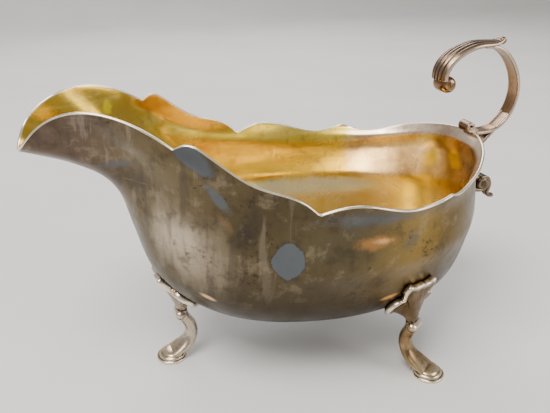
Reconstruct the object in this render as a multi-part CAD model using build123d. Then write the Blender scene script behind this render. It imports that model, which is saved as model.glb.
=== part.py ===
from build123d import *
import math
import os

# Footed sauce boat, millimetres, +Z up, spout toward -X, handle toward +X.

# ---- driving dimensions -------------------------------------------------
CENTRE_SHIFT = 1.05        # moves the drawing so the overall box is centred
WALL = 1.0                 # bowl wall with its lining
LINING = 0.15              # gilt lining stand-in
RIM_BACK = 74.0
RIM_FRONT = -95.0
RIM_HALF = 49.5
NECK_X = -45.0             # behind this the rings keep their place along the bowl
SHOULDER_Z = 43.0          # above this the rings follow the rim height
CUT_TOP = 125.0
RING_STEPS = 2             # rings drawn between each pair of key rings
RIM_EXTEND = 1.6           # how far the walls run on past the rim before trimming

PLATE_THICK = 2.2
BAND_WIDTH = 6.4
BAND_THICK = 1.4
LEAF_WIDTH = 9.4
STRUT_WIDTH = 5.4
STRUT_THICK = 1.5
SCROLL_WIDTH = 5.6
SCROLL_THICK = 2.0
VOLUTE_AT = (72.2, 81.5)   # side-view centre of the roll on the rim
VOLUTE_RADIUS = 2.4
TERMINAL_AT = (59.6, 99.3)
TERMINAL_RADIUS = 3.25
EYE_AT = (81.9, 56.0)      # centre of the lower scroll's curl
EYE_RADIUS = 3.2
ROLL_EXTRA = 0.4           # rolls stand this much wider than their strip
SOFT_EDGE = 0.8            # rounding on rolls and collars

FRONT_SOLE = (-52.1, 0.0)
REAR_SOLE = (37.4, 43.0)
REAR_ANGLE = 52.5          # outward heading of the rear feet
REAR_SPLAY = 0.16          # rear legs lean out this much per unit height

# rim in plan and height, from spout tip to handle side
RIM = [
    (-95.0, 0.0, 90.0), (-94.6, 6.0, 91.0), (-93.5, 11.0, 93.5), (-90.5, 13.2, 97.1),
    (-84.0, 14.6, 102.0), (-75.0, 18.5, 104.0), (-60.0, 26.5, 100.0), (-45.0, 35.5, 95.0),
    (-30.0, 42.0, 84.0), (-8.0, 47.5, 77.0), (15.0, 49.5, 73.5), (38.0, 43.5, 72.0),
    (55.0, 33.0, 73.5), (68.0, 18.0, 77.5), (74.0, 0.0, 79.0),
]
RIM_ANGLES = [0, 3.8, 8, 13.5, 20, 27, 35, 44, 58, 78.5, 98.5, 119.5, 138.5, 159, 180]

# height or rise fraction, front x, half width, back x, share of the rim plan
RINGS = [
    (14.5, None, -7.0, 8.0, 26.0, 0.0), (18.5, None, -27.0, 19.5, 48.0, 0.0),
    (28.5, None, -45.0, 36.0, 66.0, 0.0), (43.0, None, -57.0, 42.5, 71.0, 0.0),
    (None, 0.33, -61.5, 46.3, 72.3, 0.05), (None, 0.60, -65.0, 46.3, 72.0, 0.25),
    (None, 0.75, -70.0, 46.6, 71.5, 0.50), (None, 0.88, -80.0, 47.6, 71.5, 0.75),
    (None, 1.00, -95.0, 49.5, 74.0, 1.0),
]

# wavy rim seen from the side, one list per smooth run between cusps
CUT_RUNS = [
    [(-95.3, 89.5), (-90.0, 97.5), (-76.0, 104.0), (-62.0, 101.0), (-51.5, 94.5)],
    [(-51.5, 94.5), (-47.5, 96.0), (-43.5, 94.0), (-29.0, 83.5), (-15.5, 78.0), (-10.5, 73.5)],
    [(-10.5, 73.5), (-6.0, 75.0), (0.0, 76.0), (14.0, 73.0), (27.0, 70.5), (38.0, 73.0)],
    [(38.0, 73.0), (46.0, 71.0), (60.0, 75.0), (74.0, 79.0), (80.0, 80.0)],
]

BAND_INNER = [
    (74.5, 112.0), (81.0, 111.0), (88.0, 105.0), (91.5, 96.0), (90.0, 87.0), (84.0, 80.5),
    (75.0, 79.5),
]

# side-view centre lines of the strips that meet the bowl
STRUT_LINE = [(91.0, 86.2), (87.2, 82.5), (83.0, 78.4), (78.4, 74.0), (74.2, 70.0), (71.5, 67.4)]
SCROLL_ARM = [(73.0, 67.2), (73.9, 62.6), (74.6, 58.2), (77.4, 54.6), (81.6, 53.4)]
SCROLL_SPUR = [(82.2, 54.4), (84.4, 51.6), (86.6, 49.7), (89.2, 49.3)]
SCROLL_PAD = (73.2, 61.0, 3.0, 9.0)    # centre x and z, depth, height

# leaf: underside point, crown height, half width
LEAF = [
    ((83.4, 114.9), 1.2, 3.9), ((81.2, 113.1), 1.9, 4.1), ((77.6, 112.4), 2.4, 4.2),
    ((73.4, 112.3), 2.6, 4.4), ((69.4, 111.7), 2.8, 4.6), ((65.5, 110.2), 3.0, 4.7),
    ((62.2, 108.2), 3.2, 4.8), ((59.8, 105.6), 3.3, 4.8), ((58.7, 102.9), 3.1, 4.8),
    ((58.6, 101.0), 2.9, 4.8),
]

# leg: centre along the outward direction, height, half depth, half width
LEG = [
    (-5.4, 21.6, 2.0, 2.9), (-5.9, 18.2, 2.1, 2.8), (-7.8, 14.6, 2.3, 2.6),
    (-8.7, 11.2, 2.4, 2.7), (-8.2, 8.2, 2.3, 3.1), (-6.4, 5.6, 2.1, 3.8),
    (-4.0, 3.6, 1.8, 4.4),
]
COLLAR_AT = (-4.6, 19.4)   # ring round the ankle
COLLAR_RADIUS = 2.05
COLLAR_WIDTH = 8.0

# hoof steps: centre, bottom, height, half length, half width, edge rounding
SOLE_STEP = (-0.4, 0.0, 1.2, 5.6, 5.7, 0.5)
UPPER_STEP = (-0.8, 1.15, 1.5, 4.9, 5.1, 0.6)
TOE_AT = (-1.4, 2.6)
TOE_HALF_SIZES = (4.3, 4.7, 3.0)

# bracket sections: centre, height, tilt, half depth, half width
NECK = (-5.4, 21.6, -0.10, 2.0, 2.9)
WAIST = (-5.3, 23.6, -0.25, 2.4, 3.4)
FLARE = (-5.2, 26.2, -0.45, 4.0, 5.0)
MOUTH = (-5.6, 29.2, -0.60, 6.8, 7.2)
ROOT = (-8.4, 33.6, -0.60, 7.2, 7.4)

# knee plate seen along the outward direction, right half: across, height
SHIELD_UPPER = [(0.0, 38.4), (3.0, 38.1), (5.8, 38.8), (6.6, 36.4), (6.0, 34.2), (5.2, 32.8)]
SHIELD_LOWER = [(5.2, 32.8), (7.6, 32.4), (9.0, 30.4), (8.3, 27.8), (5.2, 25.6), (0.0, 23.2)]
SHIELD_REACH = 40.0        # the prism that cuts the plate runs this far each way


# ---- bowl ---------------------------------------------------------------
def ring_points(ring):
    """Half the stations round one ring, spout side to handle side."""
    z, rise, front, half, back, share = ring
    points = []
    for (rim_x, rim_y, rim_z), angle in zip(RIM, RIM_ANGLES):
        a = math.radians(angle)
        oval_x = (front + back) / 2 - (back - front) / 2 * math.cos(a)
        oval_y = half * math.sin(a)
        if rim_x < NECK_X:
            plan_x = NECK_X + (rim_x - NECK_X) * (front - NECK_X) / (RIM_FRONT - NECK_X)
        else:
            plan_x = NECK_X + (rim_x - NECK_X) * (back - NECK_X) / (RIM_BACK - NECK_X)
        plan_y = half * rim_y / RIM_HALF
        height = z if rise is None else SHOULDER_Z + (rim_z - SHOULDER_Z) * rise
        x = oval_x + (plan_x - oval_x) * share
        y = oval_y + (plan_y - oval_y) * share
        points.append((x, y, height))
    return points


def monotone_slopes(values):
    """Slopes that never let the blend overshoot its key values."""
    steps = [b - a for a, b in zip(values, values[1:])]
    slopes = [steps[0]]
    for a, b in zip(steps, steps[1:]):
        slopes.append(0 if a * b <= 0 else 2 * a * b / (a + b))
    slopes.append(steps[-1])
    return slopes


def surface_stack():
    """Rings blended smoothly in height, carried on past the rim for trimming."""
    key = [ring_points(ring) for ring in RINGS]
    columns = len(RIM)
    slopes = [[monotone_slopes([row[c][k] for row in key]) for k in range(3)] for c in range(columns)]
    stack = []
    for r in range(len(key) - 1):
        for step in range(RING_STEPS):
            u = step / RING_STEPS
            w0 = 2 * u ** 3 - 3 * u ** 2 + 1
            w1 = u ** 3 - 2 * u ** 2 + u
            w2 = 3 * u ** 2 - 2 * u ** 3
            w3 = u ** 3 - u ** 2
            row = []
            for c in range(columns):
                row.append(tuple(w0 * key[r][c][k] + w1 * slopes[c][k][r] + w2 * key[r + 1][c][k]
                                 + w3 * slopes[c][k][r + 1] for k in range(3)))
            stack.append(row)
    stack.append(key[-1])
    top = stack[-1]
    below = stack[-2]
    stack.append([(p[0] + RIM_EXTEND * (p[0] - q[0]), p[1] + RIM_EXTEND * (p[1] - q[1]),
                   p[2] + 2 * RIM_EXTEND * (p[2] - q[2])) for p, q in zip(top, below)])
    return stack


def unit(v):
    """Vector of length one."""
    length = math.sqrt(sum(c * c for c in v))
    return tuple(c / length for c in v)


def cross(a, b):
    return (a[1] * b[2] - a[2] * b[1], a[2] * b[0] - a[0] * b[2], a[0] * b[1] - a[1] * b[0])


def across_middle(p):
    return (p[0], -p[1], p[2])


def offset_stack(stack, distance):
    """Push every station outward along the local surface normal."""
    out = []
    rows = len(stack)
    cols = len(stack[0])
    for r in range(rows):
        row = []
        for c in range(cols):
            p = stack[r][c]
            left = stack[r][c - 1] if c > 0 else across_middle(stack[r][1])
            right = stack[r][c + 1] if c < cols - 1 else across_middle(stack[r][c - 1])
            low = stack[max(r - 1, 0)][c]
            high = stack[min(r + 1, rows - 1)][c]
            along = tuple(right[i] - left[i] for i in range(3))
            up = tuple(high[i] - low[i] for i in range(3))
            n = unit(cross(up, along))
            row.append(tuple(p[i] + distance * n[i] for i in range(3)))
        row[0] = (row[0][0], 0.0, row[0][2])
        row[-1] = (row[-1][0], 0.0, row[-1][2])
        out.append(row)
    floor = stack[0][0][2] - distance
    out[0] = [(p[0], p[1], floor) for p in out[0]]
    out.append([(p[0], p[1], CUT_TOP) for p in out[-1]])
    return out


def closed_wire(points):
    """Closed smooth curve through half-ring stations and their mirror images."""
    full = points + [across_middle(p) for p in reversed(points[1:-1])]
    count = len(full)
    places = [i / count for i in range(count + 1)]
    return Wire([Edge.make_spline(full, periodic=True, parameters=places)])


def hull(distance):
    """Solid filling the bowl out to the given offset from its outer face."""
    stack = offset_stack(surface_stack(), distance)
    return Solid.make_loft([closed_wire(row) for row in stack], ruled=True)


def biggest(shape):
    return max(shape.solids(), key=lambda solid: solid.volume)


def rim_cutter():
    """Everything above the wavy rim and ahead of the spout lip."""
    edges = [Spline(*[(x, 0, z) for x, z in run]) for run in CUT_RUNS]
    last = CUT_RUNS[-1][-1]
    first = CUT_RUNS[0][0]
    corners = [(last[0], 0, last[1]), (last[0] + 40, 0, last[1]), (last[0] + 40, 0, 160),
               (-140, 0, 160), (-140, 0, first[1]), (first[0], 0, first[1])]
    face = Face(Wire(edges + Polyline(*corners).edges()))
    return extrude(face, amount=90, dir=(0, 1, 0), both=True)


# ---- handle -------------------------------------------------------------
def side_tangent(points, i):
    """Unit direction of a side-view line of points near point i."""
    before = points[max(i - 1, 0)]
    after = points[min(i + 1, len(points) - 1)]
    tx, _, tz = unit((after[0] - before[0], 0, after[1] - before[1]))
    return tx, tz


def strap(centre, thick, width):
    """Flat strip following a side-view centre line."""
    left = []
    right = []
    for i, (x, z) in enumerate(centre):
        tx, tz = side_tangent(centre, i)
        left.append((x - tz * thick / 2, 0, z + tx * thick / 2))
        right.append((x + tz * thick / 2, 0, z - tx * thick / 2))
    outline = Wire([
        *Spline(*left).edges(),
        *Line(left[-1], right[-1]).edges(),
        *Spline(*reversed(right)).edges(),
        *Line(right[0], left[0]).edges(),
    ])
    return extrude(Face(outline), amount=width / 2, dir=(0, 1, 0), both=True)


def crowned_wire(base, normal, rise, half):
    """Half-round section standing on a side-view point."""
    bx, bz = base
    nx, nz = normal
    edge = rise * 0.55
    flat_a = (bx, -half, bz)
    flat_b = (bx, half, bz)
    side_a = (bx + nx * edge, -half, bz + nz * edge)
    side_b = (bx + nx * edge, half, bz + nz * edge)
    top = (bx + nx * rise, 0, bz + nz * rise)
    return Wire([
        *Line(flat_a, flat_b).edges(),
        *Line(flat_b, side_b).edges(),
        *ThreePointArc(side_b, top, side_a).edges(),
        *Line(side_a, flat_a).edges(),
    ])


def handle_leaf():
    """Reeded leaf on the handle top, drawn here as its crowned envelope."""
    line = [base for base, rise, half in LEAF]
    sections = []
    for i, (base, rise, half) in enumerate(LEAF):
        tx, tz = side_tangent(line, i)
        sections.append(crowned_wire(base, (tz, -tx), rise, half))
    return Solid.make_loft(sections)


def handle_band(leaf, volute, bowl_solid):
    """Outer strap of the handle, from the leaf down to the rim."""
    centre = []
    for i, (x, z) in enumerate(BAND_INNER):
        tx, tz = side_tangent(BAND_INNER, i)
        centre.append((x - tz * BAND_THICK / 2, z + tx * BAND_THICK / 2))
    return strap(centre, BAND_THICK, BAND_WIDTH) - leaf - volute - bowl_solid


def handle_terminal(leaf):
    """Rolled end of the leaf: a barrel lying across the handle."""
    roll = roll_bar(TERMINAL_AT, TERMINAL_RADIUS, LEAF_WIDTH + ROLL_EXTRA)
    return biggest(fillet(roll.edges().filter_by(GeomType.CIRCLE), SOFT_EDGE) - leaf)


def roll_bar(side_centre, radius, width):
    """Cylinder lying across the handle."""
    return Pos(side_centre[0], 0, side_centre[1]) * Rot(90, 0, 0) * Cylinder(radius, width)


def handle_strut(band, bowl_hull):
    return biggest(strap(STRUT_LINE, STRUT_THICK, STRUT_WIDTH) - band - bowl_hull)


def lower_scroll(strut, bowl_hull):
    """Curl under the handle, soldered to the bowl by a pad."""
    arm = strap(SCROLL_ARM, SCROLL_THICK, SCROLL_WIDTH)
    eye = roll_bar(EYE_AT, EYE_RADIUS, SCROLL_WIDTH)
    tail = strap(SCROLL_SPUR, SCROLL_THICK * 0.85, SCROLL_WIDTH * 0.7)
    pad_x, pad_z, pad_depth, pad_height = SCROLL_PAD
    pad = Pos(pad_x, 0, pad_z) * Box(pad_depth, SCROLL_WIDTH, pad_height)
    return arm + eye + tail + pad - bowl_hull - strut


# ---- feet ---------------------------------------------------------------
def oval_wire(u, z, tilt, depth, half):
    """Ellipse across a leg; tilt turns it in the side plane."""
    across = (math.cos(tilt), 0, -math.sin(tilt))
    normal = (math.sin(tilt), 0, math.cos(tilt))
    plane = Plane(origin=(u, 0, z), x_dir=across, z_dir=normal)
    return Wire([Edge.make_ellipse(depth, half, plane=plane)])


def leg_blank():
    wires = []
    for i, (u, z, depth, half) in enumerate(LEG):
        before = LEG[max(i - 1, 0)]
        after = LEG[min(i + 1, len(LEG) - 1)]
        tilt = math.atan2(before[0] - after[0], before[1] - after[1])
        wires.append(oval_wire(u, z, tilt, depth, half))
    return Solid.make_loft(wires)


def leg_solid(hoof):
    collar = fillet(roll_bar(COLLAR_AT, COLLAR_RADIUS, COLLAR_WIDTH).edges(), SOFT_EDGE)
    return leg_blank() + collar - hoof


def oval_step(u, bottom, height, length, width, rounding):
    """Low oval disc with a soft upper edge."""
    disc = Pos(u, 0, bottom) * extrude(Ellipse(length, width), amount=height)
    return fillet(disc.edges().sort_by(Axis.Z)[-1:], rounding)


def hoof_solid():
    sole = oval_step(*SOLE_STEP)
    step = oval_step(*UPPER_STEP)
    toe = Pos(TOE_AT[0], 0, TOE_AT[1]) * scale(Sphere(1), by=TOE_HALF_SIZES)
    toe = toe & Pos(TOE_AT[0], 0, TOE_AT[1] + 3.0) * Box(20, 20, 6)
    return sole + step + toe


def bracket_blank():
    """Trumpet from the neck up to the knee plate."""
    lower = [oval_wire(*section) for section in (NECK, WAIST, FLARE, MOUTH)]
    upper = [oval_wire(*section) for section in (MOUTH, ROOT)]
    return Solid.make_loft(lower) + Solid.make_loft(upper, ruled=True)


def shield():
    """Knee plate outline seen along the outward direction, as a deep prism."""
    side = []
    for run in (SHIELD_UPPER, SHIELD_LOWER):
        side += Spline(*[(0, y, z) for y, z in run]).edges()
    mirrored = [edge.mirror(Plane.XZ) for edge in side]
    prism = extrude(Face(Wire(side + mirrored)), amount=SHIELD_REACH, dir=(1, 0, 0), both=True)
    return prism & Pos(10, 0, 30) * Box(50, 60, 60)


def splayed(shape, lean):
    """Lean a foot outward without lifting its flat sole."""
    if lean == 0:
        return shape
    matrix = Matrix([[1, 0, -lean, 0], [0, 1, 0, 0], [0, 0, 1, 0], [0, 0, 0, 1]])
    return shape.transform_geometry(matrix)


def foot(name, sole_xy, heading, lean, hull_face, hull_proud):
    """Four soldered pieces of one foot, placed under the bowl."""
    place = Pos(sole_xy[0], sole_xy[1], 0) * Rot(0, 0, heading)
    hoof = hoof_solid()
    leg = leg_solid(hoof)
    bracket = bracket_blank() - leg
    hoof = place * hoof
    leg = place * splayed(leg, lean)
    bracket = place * splayed(bracket, lean) - hull_proud
    plate = (place * splayed(shield(), lean)) & (hull_proud - hull_face)
    return {name + "_hoof": hoof, name + "_leg": leg,
            name + "_knee_bracket": bracket, name + "_knee_plate": plate}


# ---- build --------------------------------------------------------------
def build_all():
    """Every node by name, in the drawing's own place."""
    cutter = rim_cutter()
    outer = hull(0)
    middle = hull(-(WALL - LINING))
    inner = hull(-WALL)
    proud = hull(PLATE_THICK)
    kept_hull = biggest(outer - cutter)
    parts = {}
    parts["bowl"] = biggest(kept_hull - middle)
    parts["gilt_lining"] = biggest(biggest(middle - cutter) - inner)

    leaf = handle_leaf()
    volute = roll_bar(VOLUTE_AT, VOLUTE_RADIUS, BAND_WIDTH + ROLL_EXTRA) - kept_hull
    band = handle_band(leaf, volute, kept_hull)
    strut = handle_strut(band, outer)
    parts["handle_band"] = band
    parts["handle_leaf"] = leaf
    parts["handle_terminal"] = handle_terminal(leaf)
    parts["rim_volute"] = volute
    parts["handle_strut"] = strut
    parts["lower_scroll"] = lower_scroll(strut, outer)

    parts.update(foot("front", FRONT_SOLE, 180, 0, outer, proud))
    parts.update(foot("rear_left", REAR_SOLE, REAR_ANGLE, REAR_SPLAY, outer, proud))
    right_sole = (REAR_SOLE[0], -REAR_SOLE[1])
    parts.update(foot("rear_right", right_sole, -REAR_ANGLE, REAR_SPLAY, outer, proud))
    return parts


os.makedirs("parts", exist_ok=True)
for node, shape in build_all().items():
    export_step(Pos(CENTRE_SHIFT, 0, 0) * shape, "parts/" + node + ".step")
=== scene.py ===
import math
import bmesh
import bpy
import numpy as np
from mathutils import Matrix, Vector
from mathutils.bvhtree import BVHTree


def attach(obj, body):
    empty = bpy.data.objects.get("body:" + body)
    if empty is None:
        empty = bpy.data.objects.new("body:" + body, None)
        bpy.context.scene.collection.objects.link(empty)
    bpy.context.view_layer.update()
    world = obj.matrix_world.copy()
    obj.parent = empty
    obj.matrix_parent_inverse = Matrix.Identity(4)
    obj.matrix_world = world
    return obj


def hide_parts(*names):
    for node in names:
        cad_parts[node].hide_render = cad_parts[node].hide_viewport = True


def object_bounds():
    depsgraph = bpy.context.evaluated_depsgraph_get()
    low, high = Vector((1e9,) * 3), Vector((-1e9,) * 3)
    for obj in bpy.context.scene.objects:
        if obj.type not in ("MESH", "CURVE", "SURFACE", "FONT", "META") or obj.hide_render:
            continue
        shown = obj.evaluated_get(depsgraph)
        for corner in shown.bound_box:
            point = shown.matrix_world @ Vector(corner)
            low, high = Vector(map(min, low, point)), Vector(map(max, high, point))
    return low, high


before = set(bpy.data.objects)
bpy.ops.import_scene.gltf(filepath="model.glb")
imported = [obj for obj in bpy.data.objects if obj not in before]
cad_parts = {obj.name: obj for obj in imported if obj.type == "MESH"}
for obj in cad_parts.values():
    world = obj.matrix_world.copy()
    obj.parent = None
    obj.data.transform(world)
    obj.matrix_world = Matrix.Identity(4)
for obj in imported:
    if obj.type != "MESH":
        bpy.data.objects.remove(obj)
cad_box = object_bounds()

MM = 0.001
SHIFT = 1.05            # moves the drawing so the overall box is centred, as in the CAD

# ---------------------------------------------------------------- camera
# millimetres and degrees
CAMERA_AT = (-80.2, -208.6, 153.85)
CAMERA_YAW = 19.12
CAMERA_PITCH = 23.52
CAMERA_LENS = 41.9
SENSOR_WIDTH = 36.0
CLIP_START = 0.01       # metres

cam_data = bpy.data.cameras.new("view")
cam_data.lens = CAMERA_LENS
cam_data.sensor_width = SENSOR_WIDTH
cam_data.clip_start = CLIP_START
cam = bpy.data.objects.new("view", cam_data)
bpy.context.scene.collection.objects.link(cam)
cam.location = Vector(CAMERA_AT) * MM
cam.rotation_euler = (math.radians(90 - CAMERA_PITCH), 0, math.radians(-CAMERA_YAW))
bpy.context.scene.camera = cam

# ---------------------------------------------------------------- bowl form
# rim in plan and height, from spout tip to handle side, as in the CAD: x, y, z
RIM = [
    (-95.0, 0.0, 90.0), (-94.6, 6.0, 91.0), (-93.5, 11.0, 93.5), (-90.5, 13.2, 97.1),
    (-84.0, 14.6, 102.0), (-75.0, 18.5, 104.0), (-60.0, 26.5, 100.0), (-45.0, 35.5, 95.0),
    (-30.0, 42.0, 84.0), (-8.0, 47.5, 77.0), (15.0, 49.5, 73.5), (38.0, 43.5, 72.0),
    (55.0, 33.0, 73.5), (68.0, 18.0, 77.5), (74.0, 0.0, 79.0),
]
# where each rim station falls on an oval ring, in degrees from the spout
RIM_ANGLES = [0, 3.8, 8, 13.5, 20, 27, 35, 44, 58, 78.5, 98.5, 119.5, 138.5, 159, 180]
# height or rise fraction, front x, half width, back x, share of the rim plan
RINGS = [
    (14.5, None, -7.0, 8.0, 26.0, 0.0), (18.5, None, -27.0, 19.5, 48.0, 0.0),
    (28.5, None, -45.0, 36.0, 66.0, 0.0), (43.0, None, -57.0, 42.5, 71.0, 0.0),
    (None, 0.33, -61.5, 46.3, 72.3, 0.05), (None, 0.60, -65.0, 46.3, 72.0, 0.25),
    (None, 0.75, -70.0, 46.6, 71.5, 0.50), (None, 0.88, -80.0, 47.6, 71.5, 0.75),
    (None, 1.00, -95.0, 49.5, 74.0, 1.0),
]
# wavy rim seen from the side, one list per smooth run between cusps
CUT_RUNS = [
    [(-95.3, 89.5), (-90.0, 97.5), (-76.0, 104.0), (-62.0, 101.0), (-51.5, 94.5)],
    [(-51.5, 94.5), (-47.5, 96.0), (-43.5, 94.0), (-29.0, 83.5), (-15.5, 78.0), (-10.5, 73.5)],
    [(-10.5, 73.5), (-6.0, 75.0), (0.0, 76.0), (14.0, 73.0), (27.0, 70.5), (38.0, 73.0)],
    [(38.0, 73.0), (46.0, 71.0), (60.0, 75.0), (74.0, 79.0), (80.0, 80.0)],
]
RIM_FRONT = RIM[0][0]
RIM_BACK = RIM[-1][0]
RIM_HALF = 49.5
SHOULDER_Z = 43.0       # above this the rings follow the rim height
NECK_X = -45.0          # behind this the rings keep their place along the bowl
RIM_EXTEND = 1.6        # how far the walls run on past the rim before trimming
TIP_SLOPE = 2.6         # how steeply the cut falls away past the spout's tip
WALL = 1.0
COLUMNS = 520
ROWS = 96
GRID_TOP = 9.0          # the grid ends this many rings up, one past the rim
HALVINGS = 14           # steps that settle a grid line on the rim
NORMAL_STEP = 0.02      # stations or rings, for reading slopes off the surface
CUT_POINTS = 120        # points drawn along each run of the rim


def spline_through(points, count=40):
    """Natural cubic through points by chord length, returned as dense points."""
    p = np.array(points, float)
    t = np.r_[0, np.cumsum(np.linalg.norm(np.diff(p, axis=0), axis=1))]
    n = len(p)
    h = np.diff(t)
    a = np.zeros((n, n))
    rhs = np.zeros((n, p.shape[1]))
    a[0, 0] = a[-1, -1] = 1
    for i in range(1, n - 1):
        a[i, i - 1] = h[i - 1]
        a[i, i] = 2 * (h[i - 1] + h[i])
        a[i, i + 1] = h[i]
        rhs[i] = 6 * ((p[i + 1] - p[i]) / h[i] - (p[i] - p[i - 1]) / h[i - 1])
    m = np.linalg.solve(a, rhs)
    s = np.linspace(0, t[-1], count)
    k = np.clip(np.searchsorted(t, s, side="right") - 1, 0, n - 2)
    u = (s - t[k])[:, None]
    hk = h[k][:, None]
    return (m[k] * (hk - u) ** 3 / (6 * hk) + m[k + 1] * u ** 3 / (6 * hk)
            + (p[k] / hk - m[k] * hk / 6) * (hk - u) + (p[k + 1] / hk - m[k + 1] * hk / 6) * u)


def ring_stations(ring):
    """Stations round one ring, from the spout round both sides."""
    z, rise, front, half, back, share = ring
    out = []
    for (rim_x, rim_y, rim_z), angle in zip(RIM, RIM_ANGLES):
        a = math.radians(angle)
        oval_x = (front + back) / 2 - (back - front) / 2 * math.cos(a)
        oval_y = half * math.sin(a)
        if rim_x < NECK_X:
            plan_x = NECK_X + (rim_x - NECK_X) * (front - NECK_X) / (RIM_FRONT - NECK_X)
        else:
            plan_x = NECK_X + (rim_x - NECK_X) * (back - NECK_X) / (RIM_BACK - NECK_X)
        plan_y = half * rim_y / RIM_HALF
        height = z if rise is None else SHOULDER_Z + (rim_z - SHOULDER_Z) * rise
        out.append([oval_x + (plan_x - oval_x) * share, oval_y + (plan_y - oval_y) * share, height])
    mirrored = [[x, -y, h] for x, y, h in reversed(out[1:-1])]
    return out + mirrored


def ring_slopes(key):
    """Slopes from ring to ring that never let the blend overshoot."""
    step = np.diff(key, axis=0)
    slope = np.zeros_like(key)
    slope[0] = step[0]
    slope[-1] = step[-1]
    product = step[:-1] * step[1:]
    total = step[:-1] + step[1:]
    safe_total = np.where(product > 0, total, 1.0)
    slope[1:-1] = np.where(product > 0, 2 * product / safe_total, 0.0)
    return slope


KEY = np.array([ring_stations(ring) for ring in RINGS])
SLOPE = ring_slopes(KEY)
STATIONS = KEY.shape[1]


def around(values, t):
    """Periodic uniform cubic through the stations (axis 1), read at t in stations."""
    k = np.arange(STATIONS)
    gain = (4 + 2 * np.cos(2 * np.pi * k / STATIONS)) / 6
    control = np.real(np.fft.ifft(np.fft.fft(values, axis=1) / gain[None, :, None], axis=1))
    i = np.floor(t).astype(int)
    u = (t - i)[None, :, None]
    c = [control[:, (i + d) % STATIONS, :] for d in (-1, 0, 1, 2)]
    return ((1 - u) ** 3 * c[0] + (3 * u ** 3 - 6 * u ** 2 + 4) * c[1]
            + (-3 * u ** 3 + 3 * u ** 2 + 3 * u + 1) * c[2] + u ** 3 * c[3]) / 6


def hermite(key, slope, v):
    """Smooth blend up the rings. key and slope: rings x columns x 3; v: rows x columns, in rings."""
    r = np.clip(np.floor(v).astype(int), 0, key.shape[0] - 2)
    u = np.clip(v, 0, key.shape[0] - 1) - r
    cols = np.arange(key.shape[1])[None, :]
    u = u[..., None]
    return ((2 * u ** 3 - 3 * u ** 2 + 1) * key[r, cols] + (u ** 3 - 2 * u ** 2 + u) * slope[r, cols]
            + (3 * u ** 2 - 2 * u ** 3) * key[r + 1, cols] + (u ** 3 - u ** 2) * slope[r + 1, cols])


class Hull:
    """The bowl's outer skin over the columns at stations t."""

    def __init__(self, t):
        self.key = around(KEY, t)
        self.slope = around(SLOPE, t)
        self.top = self.key[-1]
        last = np.full((1, len(t)), KEY.shape[0] - 1.5)
        before = hermite(self.key, self.slope, last)[0]
        self.run = (self.top - before) * np.array([RIM_EXTEND, RIM_EXTEND, 2 * RIM_EXTEND])

    def at(self, v):
        """Points at rows x columns of ring coordinates, run on straight past the last ring."""
        over = np.clip(v - (KEY.shape[0] - 1), 0, None)[..., None]
        return hermite(self.key, self.slope, v) + over * self.run[None]


CUT = np.vstack([spline_through(run, CUT_POINTS)[:-1] for run in CUT_RUNS] + [[CUT_RUNS[-1][-1]]])


def cut_height(x):
    """Height of the wavy rim at each x."""
    z = np.interp(x, CUT[:, 0], CUT[:, 1])
    return np.where(x < CUT[0, 0], CUT[0, 1] + TIP_SLOPE * (x - CUT[0, 0]), z)


def surf(t, v):
    """Outer skin at matching lists of station and ring coordinates."""
    return Hull(t).at(np.asarray(v)[None])[0]


def surf_normal(t, v):
    """Unit normals of the skin, by small steps along and up."""
    lower = np.maximum(v - NORMAL_STEP, 0)
    along = surf(t + NORMAL_STEP, v) - surf(t - NORMAL_STEP, v)
    up = surf(t, v + NORMAL_STEP) - surf(t, lower)
    n = np.cross(along, up)
    return n / np.maximum(np.linalg.norm(n, axis=1, keepdims=True), 1e-9)


def onto_rim(inside, outside):
    """Halve each pair of surface places until the inner one lies on the rim."""
    low = np.array(inside)
    high = np.array(outside)
    for _ in range(HALVINGS):
        middle = (low + high) / 2
        p = surf(middle[:, 0], middle[:, 1])
        over = (p[:, 2] > cut_height(p[:, 0]))[:, None]
        high = np.where(over, middle, high)
        low = np.where(over, low, middle)
    return low


def rim_chain(links):
    """Rim crossings in order round the bowl."""
    follow = dict(links)
    start = links[0][0]
    chain = [start]
    while follow.get(chain[-1], start) != start and len(chain) < len(follow) + 1:
        chain.append(follow[chain[-1]])
    return chain


def clip_grid():
    """Grid over the whole skin, cut exactly along the wavy rim.

    Returns parameters, polygons and the rim chain as indices.
    """
    t_line = np.linspace(0, STATIONS, COLUMNS, endpoint=False)
    v_line = np.linspace(0, GRID_TOP, ROWS)
    grid = Hull(t_line).at(np.repeat(v_line[:, None], COLUMNS, axis=1))
    below = grid[..., 2] < cut_height(grid[..., 0])
    params = []
    index = {}
    crossings = []
    polygons = []
    links = []

    def corner(place):
        if place not in index:
            index[place] = len(params)
            params.append((t_line[place[1]], v_line[place[0]]))
        return index[place]

    def crossing(p, q, wrapped):
        key = (min(p, q), max(p, q))
        if key not in index:
            index[key] = len(params)
            params.append((0, 0))
            ends = [(t_line[c] + (STATIONS if c == 0 and wrapped else 0), v_line[r]) for r, c in (p, q)]
            inside, outside = ends if below[p] else ends[::-1]
            crossings.append((index[key], inside, outside))
        return index[key]

    for r in range(ROWS - 1):
        if not below[r:r + 2].any():
            break
        for c in range(COLUMNS):
            d = (c + 1) % COLUMNS
            corners = [(r, c), (r, d), (r + 1, d), (r + 1, c)]
            if not any(below[q] for q in corners):
                continue
            polygon = []
            cuts = []
            for p, q in zip(corners, corners[1:] + corners[:1]):
                if below[p]:
                    polygon.append(corner(p))
                if below[p] != below[q]:
                    polygon.append(crossing(p, q, d == 0))
                    cuts.append((polygon[-1], below[p]))
            polygons.append(polygon)
            for i, (cut, leaving) in enumerate(cuts):
                if leaving:
                    links.append((cut, cuts[(i + 1) % len(cuts)][0]))
    settled = onto_rim([c[1] for c in crossings], [c[2] for c in crossings])
    for (place, _, _), where in zip(crossings, settled):
        params[place] = tuple(where)
    return np.array(params), polygons, rim_chain(links)


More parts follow.
